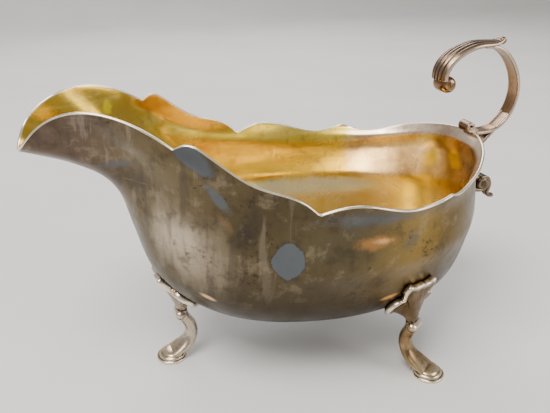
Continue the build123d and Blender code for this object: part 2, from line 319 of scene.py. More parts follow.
PARAMS, POLYGONS, CHAIN = clip_grid()
SKIN = surf(PARAMS[:, 0], PARAMS[:, 1])
SKIN_NORMAL = surf_normal(PARAMS[:, 0], PARAMS[:, 1])
if (SKIN_NORMAL[:, 1] * SKIN[:, 1]).mean() < 0:
    SKIN_NORMAL = -SKIN_NORMAL


# ---------------------------------------------------------------- mesh helpers
def add_layer(mesh, name, values):
    """A number per point that the materials read."""
    layer = mesh.attributes.new(name, "FLOAT", "POINT")
    layer.data.foreach_set("value", np.asarray(values, dtype=np.float32))


def make_object(name, verts, faces, material):
    """Smooth mesh from drawing points, kept inside the CAD's box."""
    points = (np.array(verts, float) + (SHIFT, 0, 0)) * MM
    points = np.clip(points, cad_box[0], cad_box[1])
    mesh = bpy.data.meshes.new(name)
    mesh.from_pydata([tuple(p) for p in points], [], faces)
    mesh.update()
    mesh.polygons.foreach_set("use_smooth", [True] * len(mesh.polygons))
    mesh.materials.append(material)
    obj = bpy.data.objects.new(name, mesh)
    bpy.context.scene.collection.objects.link(obj)
    return obj


def tube_faces(rows, cols):
    faces = []
    for r in range(rows - 1):
        for c in range(cols):
            a = r * cols + c
            b = r * cols + (c + 1) % cols
            faces.append((a, b, b + cols, a + cols))
    return faces


def fan(indices, centre, flip=False):
    """Triangles from a loop of points to one centre."""
    out = []
    for a, b in zip(indices, indices[1:] + indices[:1]):
        triangle = (a, b, centre)
        out.append(triangle[::-1] if flip else triangle)
    return out


def loft(name, loops, material):
    """Skin through equal loops of points, its ends closed with small fans."""
    rows = len(loops)
    cols = len(loops[0])
    verts = [tuple(p) for loop in loops for p in loop]
    faces = tube_faces(rows, cols)
    verts.append(tuple(np.mean(loops[0], axis=0)))
    faces += fan(list(range(cols)), len(verts) - 1, flip=True)
    verts.append(tuple(np.mean(loops[-1], axis=0)))
    faces += fan(list(range((rows - 1) * cols, rows * cols)), len(verts) - 1)
    obj = make_object(name, verts, faces, material)
    outward(obj)
    return obj


def outward(obj):
    """Turn every face outward."""
    bm = bmesh.new()
    bm.from_mesh(obj.data)
    bmesh.ops.recalc_face_normals(bm, faces=bm.faces)
    bm.to_mesh(obj.data)
    bm.free()


def paint(obj, **layers):
    """Brightness, darkening and gold layers; the darkening marks hollows, joints and painted shade. Points
    past a list's end get none.
    """
    total = len(obj.data.vertices)
    for key in ("edge", "groove", "gold"):
        values = list(layers.get(key, []))
        add_layer(obj.data, key, values + [0.0] * (total - len(values)))


def declare(obj, slot, *nodes):
    """Fix a piece to the body, hiding the CAD nodes it stands for; the slot is not used."""
    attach(obj, "root")
    if nodes:
        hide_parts(*nodes)
    return obj


# ---------------------------------------------------------------- materials
class Nodes:
    """Short hand for building a node tree."""

    def __init__(self, name):
        self.material = bpy.data.materials.new(name)
        self.material.use_nodes = True
        self.tree = self.material.node_tree
        self.shader = self.tree.nodes["Principled BSDF"]
        self.coords = self.tree.nodes.new("ShaderNodeTexCoord").outputs["Object"]

    def link(self, a, b):
        self.tree.links.new(a, b)

    def stretched(self, scale, turn=(0, 0, 0)):
        node = self.tree.nodes.new("ShaderNodeMapping")
        node.inputs["Scale"].default_value = scale
        node.inputs["Rotation"].default_value = turn
        self.link(self.coords, node.inputs["Vector"])
        return node.outputs["Vector"]

    def noise(self, scale, detail, rough, vector=None):
        node = self.tree.nodes.new("ShaderNodeTexNoise")
        node.inputs["Scale"].default_value = scale
        node.inputs["Detail"].default_value = detail
        node.inputs["Roughness"].default_value = rough
        self.link(vector or self.coords, node.inputs["Vector"])
        return node.outputs["Fac"]

    def ramp(self, value, *stops):
        node = self.tree.nodes.new("ShaderNodeValToRGB")
        band = node.color_ramp
        while len(band.elements) < len(stops):
            band.elements.new(0.5)
        for element, (place, color) in zip(band.elements, stops):
            element.position = place
            element.color = (*color, 1)
        self.link(value, node.inputs["Fac"])
        return node.outputs["Color"]

    def level(self, value, low, high, to_low=0.0, to_high=1.0):
        """Smooth step from to_low at low to to_high at high."""
        node = self.tree.nodes.new("ShaderNodeMapRange")
        node.interpolation_type = "SMOOTHSTEP"
        node.inputs["From Min"].default_value = low
        node.inputs["From Max"].default_value = high
        node.inputs["To Min"].default_value = to_low
        node.inputs["To Max"].default_value = to_high
        self.link(value, node.inputs["Value"])
        return node.outputs["Result"]

    def mix(self, factor, a, b):
        node = self.tree.nodes.new("ShaderNodeMix")
        node.data_type = "RGBA"
        for socket, value in ((node.inputs[0], factor), (node.inputs[6], a), (node.inputs[7], b)):
            if isinstance(value, (int, float)):
                socket.default_value = value
            elif isinstance(value, tuple):
                socket.default_value = (*value, 1)
            else:
                self.link(value, socket)
        return node.outputs[2]

    def tint(self, tone, where, strength, color):
        """Lay a colour over the tone where a mask says, at a strength."""
        return self.mix(self.math("MULTIPLY", where, strength), tone, color)

    def math(self, kind, a, b):
        node = self.tree.nodes.new("ShaderNodeMath")
        node.operation = kind
        for socket, value in zip(node.inputs, (a, b)):
            if isinstance(value, (int, float)):
                socket.default_value = value
            else:
                self.link(value, socket)
        return node.outputs[0]

    def attribute(self, name):
        node = self.tree.nodes.new("ShaderNodeAttribute")
        node.attribute_name = name
        return node.outputs["Fac"]

    def axis(self, name):
        node = self.tree.nodes.new("ShaderNodeSeparateXYZ")
        self.link(self.coords, node.inputs[0])
        return node.outputs[name]

    def patch(self, centre, size, turn, soft, ragged, scale, pointed=0.0):
        """A ragged spot: 1 inside, 0 outside, in millimetres on the drawing.

        pointed turns the oval into a lozenge.
        """
        node = self.tree.nodes.new("ShaderNodeMapping")
        node.vector_type = "TEXTURE"
        node.inputs["Location"].default_value = ((centre[0] + SHIFT) * MM, centre[1] * MM, centre[2] * MM)
        node.inputs["Rotation"].default_value = turn
        node.inputs["Scale"].default_value = tuple(s * MM for s in size)
        self.link(self.coords, node.inputs["Vector"])
        length = self.tree.nodes.new("ShaderNodeVectorMath")
        length.operation = "LENGTH"
        self.link(node.outputs["Vector"], length.inputs[0])
        distance = length.outputs["Value"]
        if pointed:
            sides = self.tree.nodes.new("ShaderNodeVectorMath")
            sides.operation = "ABSOLUTE"
            self.link(node.outputs["Vector"], sides.inputs[0])
            total = self.tree.nodes.new("ShaderNodeVectorMath")
            total.operation = "DOT_PRODUCT"
            self.link(sides.outputs["Vector"], total.inputs[0])
            total.inputs[1].default_value = (pointed, pointed, pointed)
            rounded = self.math("MULTIPLY", distance, 1.0 - pointed)
            distance = self.math("ADD", rounded, total.outputs["Value"])
        wobble = self.math("MULTIPLY", self.math("SUBTRACT", self.noise(scale, 5.0, 0.65), 0.5), ragged)
        moved = self.math("ADD", distance, wobble)
        return self.level(moved, 1.0, 1.0 - soft)

    def bump(self, height, strength, distance, before=None):
        node = self.tree.nodes.new("ShaderNodeBump")
        node.inputs["Strength"].default_value = strength
        node.inputs["Distance"].default_value = distance
        self.link(height, node.inputs["Height"])
        if before:
            self.link(before, node.inputs["Normal"])
        return node.outputs["Normal"]

    def finish(self, color, rough, normal, metal=1.0):
        self.link(color, self.shader.inputs["Base Color"])
        self.link(rough, self.shader.inputs["Roughness"])
        self.link(normal, self.shader.inputs["Normal"])
        self.shader.inputs["Metallic"].default_value = metal
        return self.material


OUTLINE_SCALE = 1.08    # the dark outline of a rubbed place is this much wider
OUTLINE_SHARE = 0.6     # and this much as strong


def bowl_silver():
    """Olive brown, tarnished silver with rubbed and stained places, and painted highlights, reflections and
    shade.
    """
    n = Nodes("tarnished_silver")
    x = n.axis("X")
    z = n.axis("Z")
    broad = n.noise(16.0, 3.0, 0.5)
    mottle = n.noise(120.0, 7.0, 0.68)
    fine = n.noise(520.0, 6.0, 0.7)
    tone = n.ramp(
        broad,
        (0.30, (0.080, 0.061, 0.033)),
        (0.52, (0.12, 0.092, 0.050)),
        (0.72, (0.18, 0.137, 0.076)),
    )
    # golden olive behind the middle, pinkish brown on the spout, then the zones, among them a painted
    # highlight and painted shade, and a dark rear that is a painted reflection
    tone = n.tint(tone, n.level(x, 0.0, 0.048), 0.90, (0.38, 0.235, 0.046))
    tone = n.tint(tone, n.level(x, -0.052, -0.078), 0.85, (0.110, 0.077, 0.060))
    # tarnish zones; one is a painted highlight on the front left and one is painted shade under the spout
    for spot, color, strength in BODY_ZONES:
        tone = n.tint(tone, n.patch(*spot), strength, color)
    # painted reflection: the rear of the belly darkened as if it mirrored dark surroundings
    tone = n.tint(tone, n.level(x, 0.022, 0.044), 0.88, (0.098, 0.060, 0.011))
    # mottled and freckled tarnish
    dark = n.level(mottle, 0.50, 0.64)
    tone = n.tint(tone, dark, 0.50, (0.050, 0.038, 0.026))
    patches = n.level(n.noise(44.0, 6.0, 0.7), 0.50, 0.62)
    freckles = n.math("MULTIPLY", n.level(fine, 0.52, 0.60), patches)
    tone = n.tint(tone, freckles, 0.70, (0.035, 0.024, 0.016))
    light = n.level(mottle, 0.46, 0.33)
    tone = n.tint(tone, light, 0.28, (0.36, 0.29, 0.20))
    # upright streaks and scratches in the tarnish on the spout side
    front = n.level(x, 0.0, -0.035)
    streak = n.noise(1.0, 4.0, 0.6, n.stretched((260.0, 90.0, 20.0), turn=(0, 0.45, 0)))
    streaky = n.math("MULTIPLY", n.level(streak, 0.50, 0.64), front)
    tone = n.tint(tone, streaky, 0.45, (0.060, 0.046, 0.038))
    pale_streak = n.math("MULTIPLY", n.level(streak, 0.43, 0.33), front)
    tone = n.tint(tone, pale_streak, 0.22, (0.42, 0.35, 0.28))
    hair = n.noise(1.0, 2.0, 0.5, n.stretched((45.0, 60.0, 1700.0), turn=(0.25, 0.60, 0)))
    hairline = n.math("MULTIPLY", n.level(hair, 0.71, 0.76), front)
    tone = n.tint(tone, hairline, 0.30, (0.42, 0.34, 0.26))
    # painted shade under the belly: darkened low down as a painted dark reflection
    tone = n.tint(tone, n.level(z, 0.056, 0.027), 0.90, (0.030, 0.020, 0.009))
    # rubbed blue grey places, each with a dark outline
    for spot, strength in BLUE_SPOTS:
        wider = (spot[0], tuple(size * OUTLINE_SCALE for size in spot[1]), *spot[2:])
        tone = n.tint(tone, n.patch(*wider), strength * OUTLINE_SHARE, (0.045, 0.038, 0.032))
        tone = n.tint(tone, n.patch(*spot), strength, (0.112, 0.124, 0.137))
    # warm spots; the last two are painted reflections of the knee plates
    for spot, color, strength in WARM_SPOTS_AND_REFLECTIONS:
        tone = n.tint(tone, n.patch(*spot), strength, color)
    # painted highlight: the rim bead is painted bright cream, and made a little smoother
    edge = n.attribute("rim")
    tone = n.mix(edge, tone, (0.94, 0.83, 0.63))
    rough = n.level(n.noise(90.0, 5.0, 0.6), 0.3, 0.7, 0.27, 0.42)
    rough = n.math("SUBTRACT", rough, n.math("MULTIPLY", edge, 0.10))
    dents = n.bump(n.noise(22.0, 2.0, 0.4), 0.35, 0.0012)
    grain = n.bump(mottle, 0.10, 0.0001, dents)
    scratch = n.noise(1.0, 3.0, 0.5, n.stretched((900.0, 300.0, 40.0), turn=(0.2, 0.6, 0)))
    return n.finish(tone, rough, n.bump(scratch, 0.12, 0.00008, grain))


def gilding():
    """Gilt worn through to silver near the handle and at the bottom."""
    n = Nodes("worn_gilding")
    x = n.axis("X")
    broad = n.noise(24.0, 3.0, 0.5)
    tone = n.ramp(
        broad,
        (0.32, (0.56, 0.37, 0.035)),
        (0.55, (0.78, 0.54, 0.055)),
        (0.75, (0.94, 0.70, 0.105)),
    )
    # browner inside the spout
    tone = n.tint(tone, n.level(x, -0.030, -0.070), 0.60, (0.46, 0.27, 0.030))
    flow = n.noise(1.0, 4.0, 0.6, n.stretched((36.0, 36.0, 240.0)))
    tone = n.tint(tone, n.level(flow, 0.50, 0.68), 0.45, (0.50, 0.25, 0.020))
    tone = n.tint(tone, n.level(flow, 0.46, 0.32), 0.30, (0.95, 0.74, 0.22))
    mottle = n.noise(240.0, 6.0, 0.65)
    tone = n.tint(tone, n.level(mottle, 0.52, 0.66), 0.50, (0.36, 0.23, 0.06))
    # gilding worn to pinkish silver inside the rear of the rim and low in the bowl
    height = n.attribute("below_rim")
    behind = n.level(x, 0.026, 0.056)
    near_rim = n.level(height, 0.48, 0.26)
    ragged = n.math("MULTIPLY", n.math("SUBTRACT", n.noise(110.0, 6.0, 0.65), 0.5), 0.7)
    worn = n.level(n.math("ADD", n.math("MULTIPLY", behind, near_rim), ragged), 0.25, 0.70)
    worn_tone = n.ramp(n.noise(70.0, 6.0, 0.7), (0.36, (0.52, 0.37, 0.28)), (0.62, (0.93, 0.77, 0.64)))
    tone = n.tint(tone, worn, 0.92, worn_tone)
    low = n.math("MULTIPLY", n.level(n.axis("Z"), 0.058, 0.044), n.level(x, -0.045, -0.010))
    worn_low = n.level(n.math("ADD", low, ragged), 0.30, 0.85)
    tone = n.tint(tone, worn_low, 0.60, (0.96, 0.82, 0.55))
    # painted glints: bright yellow reflections painted on the gilt
    for spot in PAINTED_GLINTS:
        tone = n.tint(tone, n.patch(*spot), 0.9, (1.0, 0.80, 0.02))
    rough = n.level(n.noise(60.0, 4.0, 0.6), 0.3, 0.7, 0.17, 0.30)
    dents = n.bump(n.noise(30.0, 2.0, 0.4), 0.40, 0.0012)
    return n.finish(tone, rough, n.bump(n.noise(420.0, 5.0, 0.6), 0.06, 0.0001, dents))


def handle_silver():
    """Pinkish brown silver, darker at the foot of the handle."""
    n = Nodes("worn_handle_silver")
    broad = n.noise(60.0, 3.0, 0.5)
    tone = n.ramp(
        broad,
        (0.30, (0.15, 0.090, 0.054)),
        (0.52, (0.235, 0.145, 0.092)),
        (0.72, (0.38, 0.26, 0.175)),
    )
    mottle = n.noise(330.0, 6.0, 0.65)
    tone = n.tint(tone, n.level(mottle, 0.52, 0.66), 0.55, (0.090, 0.055, 0.035))
    low = n.level(n.axis("Z"), 0.082, 0.072)
    tone = n.tint(tone, low, 0.85, (0.075, 0.052, 0.028))
    tone = n.tint(tone, n.attribute("gold"), 0.60, (0.28, 0.150, 0.060))
    tone = n.tint(tone, n.attribute("groove"), 0.70, (0.060, 0.036, 0.024))
    bright = n.math("MULTIPLY", n.attribute("edge"), n.math("SUBTRACT", 0.62, n.math("MULTIPLY", low, 0.45)))
    tone = n.mix(bright, tone, (0.74, 0.58, 0.44))
    rough = n.level(n.noise(150.0, 4.0, 0.6), 0.3, 0.7, 0.20, 0.34)
    dents = n.bump(n.noise(70.0, 2.0, 0.4), 0.22, 0.0006)
    return n.finish(tone, rough, n.bump(mottle, 0.08, 0.00008, dents))


def foot_silver():
    """Cast silver, brown in its hollows, with painted shade over the knee brackets, and bright on its edges,
    with a painted highlight on one side of each leg collar.
    """
    n = Nodes("worn_foot_silver")
    broad = n.noise(110.0, 3.0, 0.5)
    tone = n.ramp(
        broad,
        (0.30, (0.16, 0.098, 0.043)),
        (0.52, (0.29, 0.190, 0.095)),
        (0.72, (0.56, 0.41, 0.25)),
    )
    # the front foot is greyer and the soles are rubbed bright
    front = n.level(n.axis("X"), 0.0, -0.030)
    tone = n.tint(tone, front, 0.75, (0.62, 0.53, 0.44))
    sole = n.level(n.axis("Z"), 0.0075, 0.003)
    tone = n.tint(tone, sole, 0.65, (0.64, 0.48, 0.29))
    mottle = n.noise(380.0, 6.0, 0.65)
    tone = n.tint(tone, n.level(mottle, 0.53, 0.66), 0.50, (0.090, 0.058, 0.030))
    # dark in the hollows and joints, and painted shade over the knee brackets
    tone = n.tint(tone, n.attribute("groove"), 0.88, (0.040, 0.026, 0.015))
    # bright edges, and the painted highlight on one side of the leg collars
    tone = n.tint(tone, n.attribute("edge"), 0.88, (0.95, 0.84, 0.68))
    rough = n.level(n.noise(160.0, 4.0, 0.6), 0.3, 0.7, 0.20, 0.35)
    dents = n.bump(n.noise(140.0, 2.0, 0.4), 0.25, 0.0004)
    return n.finish(tone, rough, n.bump(mottle, 0.10, 0.00008, dents))


def pale_floor():
    n = Nodes("pale_floor")
    tone = n.ramp(n.noise(9.0, 3.0, 0.5), (0.3, (0.70, 0.69, 0.67)), (0.7, (0.75, 0.74, 0.72)))
    weave = n.noise(700.0, 3.0, 0.6)
    rough = n.level(weave, 0.2, 0.8, 0.75, 0.9)
    return n.finish(tone, rough, n.bump(weave, 0.15, 0.0002), metal=0.0)


# centre, half sizes, turn, softness, raggedness, noise scale and, for a lozenge, how pointed;
# then strength
BLUE_SPOTS = [
    (((-19.2, -43.4, 57.6), (5.9, 16.0, 7.9), (0, 0, 0), 0.10, 0.55, 300.0, 0.40), 0.92),
    (((-40.0, -37.0, 80.0), (1.9, 12.0, 7.0), (0, -0.60, 0), 0.45, 0.8, 260.0), 0.70),
    (((-46.0, -33.5, 92.0), (8.6, 12.0, 3.4), (0, 0.70, 0), 0.40, 0.8, 260.0), 0.85),
    (((-66.7, -14.5, 86.0), (8.0, 12.0, 2.2), (0, -0.25, 0), 0.70, 1.0, 260.0), 0.45),
    (((8.0, -48.0, 70.5), (24.0, 10.0, 4.4), (0, 0.05, 0), 0.95, 1.2, 120.0), 0.65),
]
# the same, then tone and strength
BODY_ZONES = [
    (((-45.0, -28.0, 56.0), (15.0, 30.0, 24.0), (0, -0.3, 0), 0.95, 0.9, 90.0), (0.32, 0.262, 0.190), 0.75),
    # painted highlight: a pale whitish patch on the front left of the belly
    (((-50.5, -24.0, 63.0), (10.0, 26.0, 18.0), (0, -0.35, 0), 0.95, 0.8, 90.0), (0.62, 0.52, 0.40), 0.65),
    # painted shade: a dark patch under the spout's throat
    (((-60.0, -18.0, 80.0), (11.0, 22.0, 9.0), (0, 0, 0), 0.95, 0.8, 60.0), (0.070, 0.054, 0.040), 0.70),
    (((-31.5, -41.0, 69.0), (5.0, 16.0, 10.0), (0, 0.3, 0), 0.90, 1.6, 180.0), (0.045, 0.038, 0.032), 0.80),
    (((-2.0, -47.0, 61.0), (19.0, 14.0, 12.0), (0, 0, 0), 0.95, 1.2, 120.0), (0.085, 0.070, 0.042), 0.75),
    (((24.0, -46.0, 60.0), (5.0, 12.0, 6.0), (0, 0, 0), 0.90, 1.4, 160.0), (0.11, 0.105, 0.085), 0.60),
]
WARM_SPOTS_AND_REFLECTIONS = [
    (((9.3, -46.0, 61.4), (9.0, 12.0, 3.2), (0, 0.06, 0), 0.60, 1.0, 320.0), (0.34, 0.165, 0.055), 0.85),
    (((12.0, -46.0, 61.6), (5.0, 12.0, 1.5), (0, 0.1, 0), 0.80, 1.3, 420.0), (0.74, 0.40, 0.17), 0.80),
    (((-38.0, -36.0, 71.5), (1.8, 12.0, 6.0), (0, -0.5, 0), 0.90, 1.4, 300.0), (0.24, 0.15, 0.085), 0.35),
    # the last two are painted reflections of the knee plates, low on the bowl
    (((20.0, -38.5, 34.8), (5.0, 8.0, 1.3), (0, -0.1, 0), 0.70, 0.7, 320.0), (0.85, 0.42, 0.10), 0.85),
    (((-41.8, -25.5, 39.6), (3.8, 8.0, 1.2), (0, 0.5, 0), 0.70, 0.7, 320.0), (0.90, 0.55, 0.28), 0.85),
]
# painted glints: bright yellow reflections painted into the gilding
PAINTED_GLINTS = [
    ((-64.6, 18.5, 96.3), (2.4, 6.0, 3.0), (0, 0, 0), 0.60, 1.0, 420.0),
    ((66.0, 14.0, 63.0), (3.0, 6.0, 7.0), (0, 0.3, 0), 0.60, 1.2, 320.0),
    ((70.5, 3.0, 66.0), (3.0, 5.0, 6.0), (0, -0.3, 0), 0.60, 1.2, 320.0),
    ((61.6, 22.0, 46.7), (4.0, 5.0, 4.0), (0, 0, 0), 0.60, 1.2, 320.0),
]

SILVER = bowl_silver()
GILT = gilding()
HANDLE = handle_silver()
FOOT = foot_silver()


# ---------------------------------------------------------------- bowl meshes
BASE_DROP = 1.2         # the bottom sags this much below its lowest ring
BASE_LOOPS = 6
BEAD_STEPS = 10         # half round on top of the rim
BEAD_RISE = 0.40        # its height as a share of the wall
RIM_LAP = 0.35          # the rim's inner face goes down this far
RIM_SMOOTHING = 0.7     # half the length that the rim's direction is read over
GILT_GAP = 0.02         # between the gilding and the wall's inner face
BELOW_RIM_SPAN = 60.0   # depth at which the below_rim layer reaches one


def rim_directions():
    """Rim points, their normals, and the way up within the skin, smoothed along the rim."""
    p = SKIN[CHAIN]
    loop = np.vstack([p, p[:1]])
    s = np.r_[0, np.cumsum(np.linalg.norm(np.diff(loop, axis=0), axis=1))]

    def at(distance):
        distance = distance % s[-1]
        return np.array([np.interp(distance, s, loop[:, k]) for k in range(3)]).T

    tangent = at(s[:-1] + RIM_SMOOTHING) - at(s[:-1] - RIM_SMOOTHING)
    n = SKIN_NORMAL[CHAIN]
    up = np.cross(n, tangent)
    up = up / np.linalg.norm(up, axis=1, keepdims=True)
    up[up[:, 2] < 0] *= -1
    return p, n, up


def add_rings(verts, faces, first, rings, flip=False):
    """Join rings of new points to a loop of old ones. Returns the last ring's indices."""
    previous = first
    cols = len(first)
    for ring in rings:
        start = len(verts)
        verts += [tuple(p) for p in ring]
        now = list(range(start, start + cols))
        for c in range(cols):
            d = (c + 1) % cols
            quad = (previous[c], previous[d], now[d], now[c])
            faces.append(quad[::-1] if flip else quad)
        previous = now
    return previous


def close_base(verts, faces, flip):
    """Close the round bottom with loops that sag toward the middle."""
    flat = np.where(PARAMS[:, 1] == 0)[0]
    edge = list(flat[np.argsort(PARAMS[flat, 0])])
    points = np.array([verts[i] for i in edge])
    middle = points.mean(axis=0)
    loops = []
    for i in range(1, BASE_LOOPS):
        k = 1 - i / BASE_LOOPS
        ring = middle + (points - middle) * k
        ring[:, 2] = points[:, 2] - BASE_DROP * (1 - k * k)
        loops.append(ring)
    last = add_rings(verts, faces, edge, loops, flip=not flip)
    verts.append((middle[0], middle[1], points[0, 2] - BASE_DROP))
    faces += fan(last, len(verts) - 1, flip=not flip)


def build_bowl():
    """Outer skin, rounded rim and bottom. Returns a tree for finding the surface."""
    verts = [tuple(p) for p in SKIN]
    faces = [tuple(q) for q in POLYGONS]
    plain = len(verts)
    p, n, up = rim_directions()
    centre = p - n * WALL / 2
    rings = []
    for i in range(1, BEAD_STEPS):
        a = math.pi * i / BEAD_STEPS
        rings.append(centre + n * (WALL / 2 * math.cos(a)) + up * (WALL * BEAD_RISE * math.sin(a)))
    rings.append(p - n * WALL)
    rings.append(p - n * WALL - up * RIM_LAP)
    verts += [tuple(q) for q in p]
    add_rings(verts, faces, list(range(plain, len(verts))), rings)
    rim = [0.0] * plain + [1.0] * (len(verts) - plain)
    close_base(verts, faces, False)
    rim += [0.0] * (len(verts) - len(rim))
    obj = make_object("bowl_shell", verts, faces, SILVER)
    add_layer(obj.data, "rim", rim)
    outward(obj)
    declare(obj, "bowl_silver", "bowl")
    return BVHTree.FromPolygons(verts, faces)


def build_gilding():
    """Inner skin, facing into the bowl."""
    inner = SKIN - SKIN_NORMAL * (WALL - GILT_GAP)
    inner[:, 2] = np.maximum(inner[:, 2], SKIN[:, 2].min() + WALL)
    down = cut_height(SKIN[:, 0]) - SKIN[:, 2]
    below = list(np.clip(down / BELOW_RIM_SPAN, 0, 1))
    verts = [tuple(p) for p in inner]
    faces = [tuple(q[::-1]) for q in POLYGONS]
    close_base(verts, faces, True)
    below += [1.0] * (len(verts) - len(below))
    obj = make_object("gilding_skin", verts, faces, GILT)
    add_layer(obj.data, "below_rim", below)
    declare(obj, "gilt", "gilt_lining")


OUTER_TREE = build_bowl()
build_gilding()


# ---------------------------------------------------------------- handle
BAND_HALF_WIDTH = 3.2
BAND_HALF_THICK = 0.7
TERMINAL_AT = (59.6, 99.3)
LEAF_TIP_AT = (83.0, 114.35)
VOLUTE_AT = (72.3, 81.5)
VOLUTE_ENTRY = [(75.4, 80.2), (74.5, 79.7)]
STRUT_LINE = [(91.2, 86.4), (87.2, 82.5), (83.0, 78.4), (78.4, 74.0), (74.2, 70.0), (73.2, 68.8)]
EYE_AT = (81.9, 56.0)
SCROLL_ARM = [(73.4, 67.2), (73.9, 62.6), (74.6, 58.2), (77.4, 54.6), (81.6, 53.4)]
SCROLL_TAIL = [
    (81.0, 58.7), (83.6, 58.6), (85.5, 56.6), (85.7, 53.6), (85.4, 51.2), (86.6, 49.9), (88.9, 49.5),
]
LEAF_ACROSS = 49        # points over the top of the leaf
LEAF_UNDER = 8          # steps back along its underside
REEDS = 5
REED_DEPTH = 0.36
ROLL_POINTS = 48


def path_frames(points, count):
    """Dense side-view path with unit tangents."""
    p = spline_through(points, count)
    t = np.gradient(p, axis=0)
    t = t / np.linalg.norm(t, axis=1, keepdims=True)
    return p, t


def rounded_strip(half_width, half_thick, bead, corner=0.45, sides=4, flat=8):
    """Section of a flat strip with soft corners and slightly raised edges: (y, n) loop."""
    r = min(corner, half_thick * 0.95)
    loop = []
    for sign in (1, -1):
        for s in np.linspace(-sign, sign, flat + 1):
            lift = bead * abs(s) ** 3
            loop.append((s * (half_width - r), sign * (half_thick - bead + lift)))
        for i in range(1, sides):
            a = math.pi * i / sides
            loop.append((sign * (half_width - r + r * math.sin(a)), sign * half_thick * math.cos(a)))
    return loop


def strip(name, points, half_width, half_thick, count, bead, taper=None, gold_side=0):
    """Flat strip along a side-view path. gold_side says which face is browned."""
    p, t = path_frames(points, count)
    loops = []
    edge = []
    gold = []
    for i in range(count):
        w = half_width
        if taper:
            w = half_width * np.interp(i / (count - 1), *zip(*taper))
        nx, nz = -t[i][1], t[i][0]
        section = rounded_strip(w, half_thick, bead)
        loops.append([(p[i][0] + nx * q, y, p[i][1] + nz * q) for y, q in section])
        for y, q in section:
            facing = gold_side and q * gold_side > half_thick * 0.4
            edge.append(1.0 if abs(y) > w * 0.93 else 0.0)
            gold.append(1.0 if facing and abs(y) < w * 0.9 else 0.0)
    obj = loft(name, loops, HANDLE)
    paint(obj, edge=edge, gold=gold)
    return obj


# inner face of the band, seen from the side
BAND_INNER = [
    (74.5, 112.0), (81.0, 111.0), (88.0, 105.0), (91.5, 96.0), (90.0, 87.0), (84.0, 80.5),
    (75.0, 79.5),
]
# underside point, crown height, half width
LEAF = [
    ((83.4, 114.4), 1.2, 2.4), ((81.2, 113.1), 1.8, 3.1), ((77.6, 112.4), 2.4, 3.9),
    ((73.4, 112.3), 2.6, 4.4), ((69.4, 111.7), 2.8, 4.6), ((65.5, 110.2), 3.0, 4.7),
    ((62.2, 108.2), 3.2, 4.8), ((59.8, 105.6), 3.3, 4.8), ((58.7, 102.9), 3.1, 4.8),
    ((58.6, 101.0), 2.9, 4.8),
]


def build_band():
    p, t = path_frames(BAND_INNER, 90)
    centre = [(x - tz * BAND_HALF_THICK, z + tx * BAND_HALF_THICK) for (x, z), (tx, tz) in zip(p, t)]
    line = centre[::3] + [centre[-1]]
    obj = strip("handle_band_strap", line, BAND_HALF_WIDTH, BAND_HALF_THICK, 110, 0.22, gold_side=-1)
    declare(obj, "handle_silver", "handle_band")


def build_leaf():
    """Reeded leaf over the band, with a rolled tip."""
    stations = np.array([[*base, rise, half] for base, rise, half in LEAF])
    dense = spline_through(stations, 110)
    t = np.gradient(dense[:, :2], axis=0)
    t = t / np.linalg.norm(t, axis=1, keepdims=True)
    loops = []
    groove = []
    edge = []
    for i, (x, z, rise, half) in enumerate(dense):
        nx, nz = t[i][1], -t[i][0]
        along = i / (len(dense) - 1)
        reed = np.interp(along, [0.0, 0.10, 0.22, 0.9, 1.0], [0.0, 0.25, 1.0, 1.0, 0.75])
        loop = []
        for k in range(LEAF_ACROSS):
            u = -1 + 2 * k / (LEAF_ACROSS - 1)
            crown = math.sqrt(max(0.0, 1 - (abs(u) ** 2.2)))
            wave = 0.5 + 0.5 * math.cos(math.pi * REEDS * u)
            valley = (1 - wave) ** 1.5
            h = rise * (0.50 + 0.50 * crown)
            if abs(u) < 0.95:
                h -= REED_DEPTH * reed * valley
            if abs(u) == 1:
                h = rise * 0.32
            loop.append((x + nx * h, u * half, z + nz * h))
            groove.append(valley * reed if abs(u) < 0.9 else 0.0)
            edge.append(1.0 if abs(u) > 0.93 else 0.35 * wave * reed)
        for k in range(LEAF_UNDER + 1):
            u = 1 - 2 * k / LEAF_UNDER
            h = 0.0 if abs(u) < 1 else rise * 0.12
            loop.append((x + nx * h, u * half * 0.93, z + nz * h))
            groove.append(0.0)
            edge.append(0.0)
        loops.append(loop)
    obj = loft("handle_leaf_reeded", loops, HANDLE)
    paint(obj, edge=edge, groove=groove)
    declare(obj, "handle_silver", "handle_leaf")
    tip = roll("handle_leaf_tip", LEAF_TIP_AT, 1.45, 2.3)
    declare(tip, "handle_silver")


def roll(name, centre, radius, half, gold_tone=0.0):
    """Barrel lying across the handle, with domed ends."""
    loops = []
    edge = []
    turn = np.linspace(0, 2 * math.pi, ROLL_POINTS, endpoint=False)
    for u in np.sin(np.linspace(-math.pi / 2, math.pi / 2, 41)):
        r = radius * max(0.02, 1 - abs(u) ** 4.5) ** 0.5
        loops.append([(centre[0] + r * math.cos(a), u * half, centre[1] + r * math.sin(a)) for a in turn])
        edge += [0.45 if 0.86 < abs(u) < 0.95 else 0.0] * ROLL_POINTS
    obj = loft(name, loops, HANDLE)
    paint(obj, edge=edge, gold=[gold_tone] * len(edge))
    return obj


def build_terminal():
    obj = roll("handle_terminal_roll", TERMINAL_AT, 3.2, 4.85, 0.9)
    declare(obj, "handle_silver", "handle_terminal")


def spiral(centre, outer, inner, start, turns, count):
    """Side-view points winding in from one radius to another."""
    out = []
    for i in range(count):
        s = i / (count - 1)
        a = start + turns * 2 * math.pi * s
        r = outer + (inner - outer) * s
        out.append((centre[0] + r * math.cos(a), centre[1] + r * math.sin(a)))
    return out


def build_volute():
    points = VOLUTE_ENTRY + spiral(VOLUTE_AT, 1.95, 0.55, -0.9, -1.35, 26)[1:]
    obj = strip("rim_volute_roll", points, 3.3, 0.62, 80, 0.08)
    declare(obj, "handle_silver", "rim_volute")


